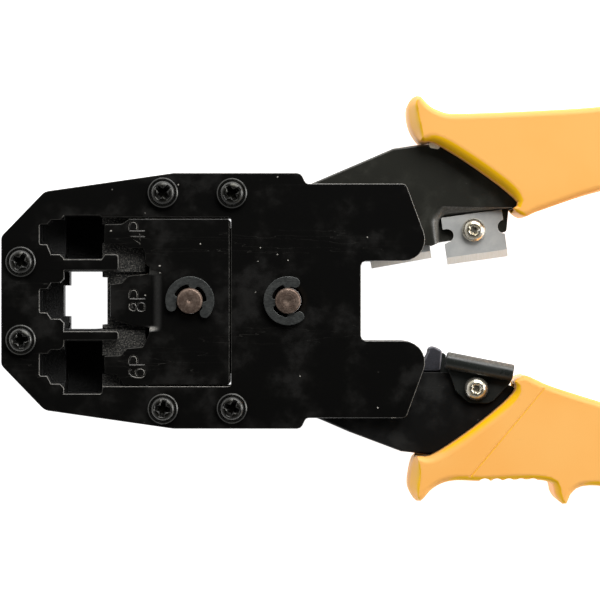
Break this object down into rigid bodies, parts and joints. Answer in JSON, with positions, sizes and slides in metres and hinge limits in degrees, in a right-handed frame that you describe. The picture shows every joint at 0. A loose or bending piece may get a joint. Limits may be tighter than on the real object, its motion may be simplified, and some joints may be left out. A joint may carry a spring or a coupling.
{
  "type": "rj45 crimping tool",
  "caption": "Hand crimping tool for modular network plugs: two sprung levers with moulded grips drive a ram into the plug sockets; with cutting and stripping blades.",
  "frame": {"origin": "middle of the tool's bounding box, on the surface the tool lies on", "axes": "+X from the plug sockets towards the grip ends, +Y towards the upper grip, +Z out of the front plate, up when the tool lies on its back"},
  "size_m": [0.2, 0.0996, 0.019],
  "materials": {
    "black_paint": "satin black paint on pressed steel plate, chipped at the edges",
    "lever_black": "satin black paint on folded steel sheet",
    "die_steel": "blackened sintered steel with a sandy surface",
    "pin_steel": "oiled turned steel with a brown tint",
    "black_oxide": "black oxide on steel, worn bright on the edges",
    "blade_steel": "grey ground tool steel with a bright bevel",
    "nickel": "nickel plate, slightly yellow",
    "black_plastic": "moulded black plastic",
    "orange_grip": "smooth orange-yellow moulded plastic"
  },
  "bodies": {
    "head": {"front_plate": "black_paint", "back_plate": "black_paint", "die_block": "die_steel", "upper_guide_rail": "die_steel", "lower_guide_rail": "die_steel", "head_screw_1": "black_oxide", "head_screw_2": "black_oxide", "head_screw_3": "black_oxide", "head_screw_4": "black_oxide", "head_screw_5": "black_oxide", "head_screw_6": "black_oxide", "head_nut_1": "black_oxide", "head_nut_2": "black_oxide", "head_nut_3": "black_oxide", "head_nut_4": "black_oxide", "head_nut_5": "black_oxide", "head_nut_6": "black_oxide", "cam_pin": "pin_steel", "cam_pin_clip_front": "black_oxide", "cam_pin_clip_back": "black_oxide"},
    "ram": {"ram_cover_front": "black_paint", "ram_cover_back": "black_paint", "punch_4p": "die_steel", "punch_8p": "die_steel", "punch_6p": "die_steel", "ram_pin": "pin_steel", "ram_pin_clip_front": "black_oxide", "ram_pin_clip_back": "black_oxide", "return_spring": "black_oxide"},
    "upper_handle": {"upper_lever": "lever_black", "upper_grip": "orange_grip", "cutter_blade": "blade_steel", "cutter_blade_screw": "nickel", "stripper_blade": "blade_steel", "stripper_blade_screw": "nickel"},
    "lower_handle": {"lower_lever": "lever_black", "lower_grip": "orange_grip", "cutter_guard": "lever_black", "cutter_guard_screw": "nickel", "cable_seat": "black_plastic"}
  },
  "joints": [
    {"name": "ram_slide", "type": "slide", "parent": "head", "child": "ram", "axis": [-1, 0, 0], "range_m": [0, 0.0031]},
    {"name": "upper_handle_pivot", "type": "hinge", "parent": "ram", "child": "upper_handle", "pos_m": [-0.0622, 0, 0.0095], "axis": [0, 0, -1], "range_deg": [0, 10], "stiffness_Nm_per_rad": 0.3, "springref_deg": -28.65, "deforming": ["return_spring"]},
    {"name": "lower_handle_pivot", "type": "hinge", "parent": "ram", "child": "lower_handle", "pos_m": [-0.0622, 0, 0.0095], "axis": [0, 0, 1], "range_deg": [0, 10], "stiffness_Nm_per_rad": 0.3, "springref_deg": -28.65}
  ],
  "couplings": [
    {"joint": "lower_handle_pivot", "follows": "upper_handle_pivot", "ratio": 1},
    {"joint": "ram_slide", "follows": "upper_handle_pivot", "m_per_rad": 0.01776}
  ]
}
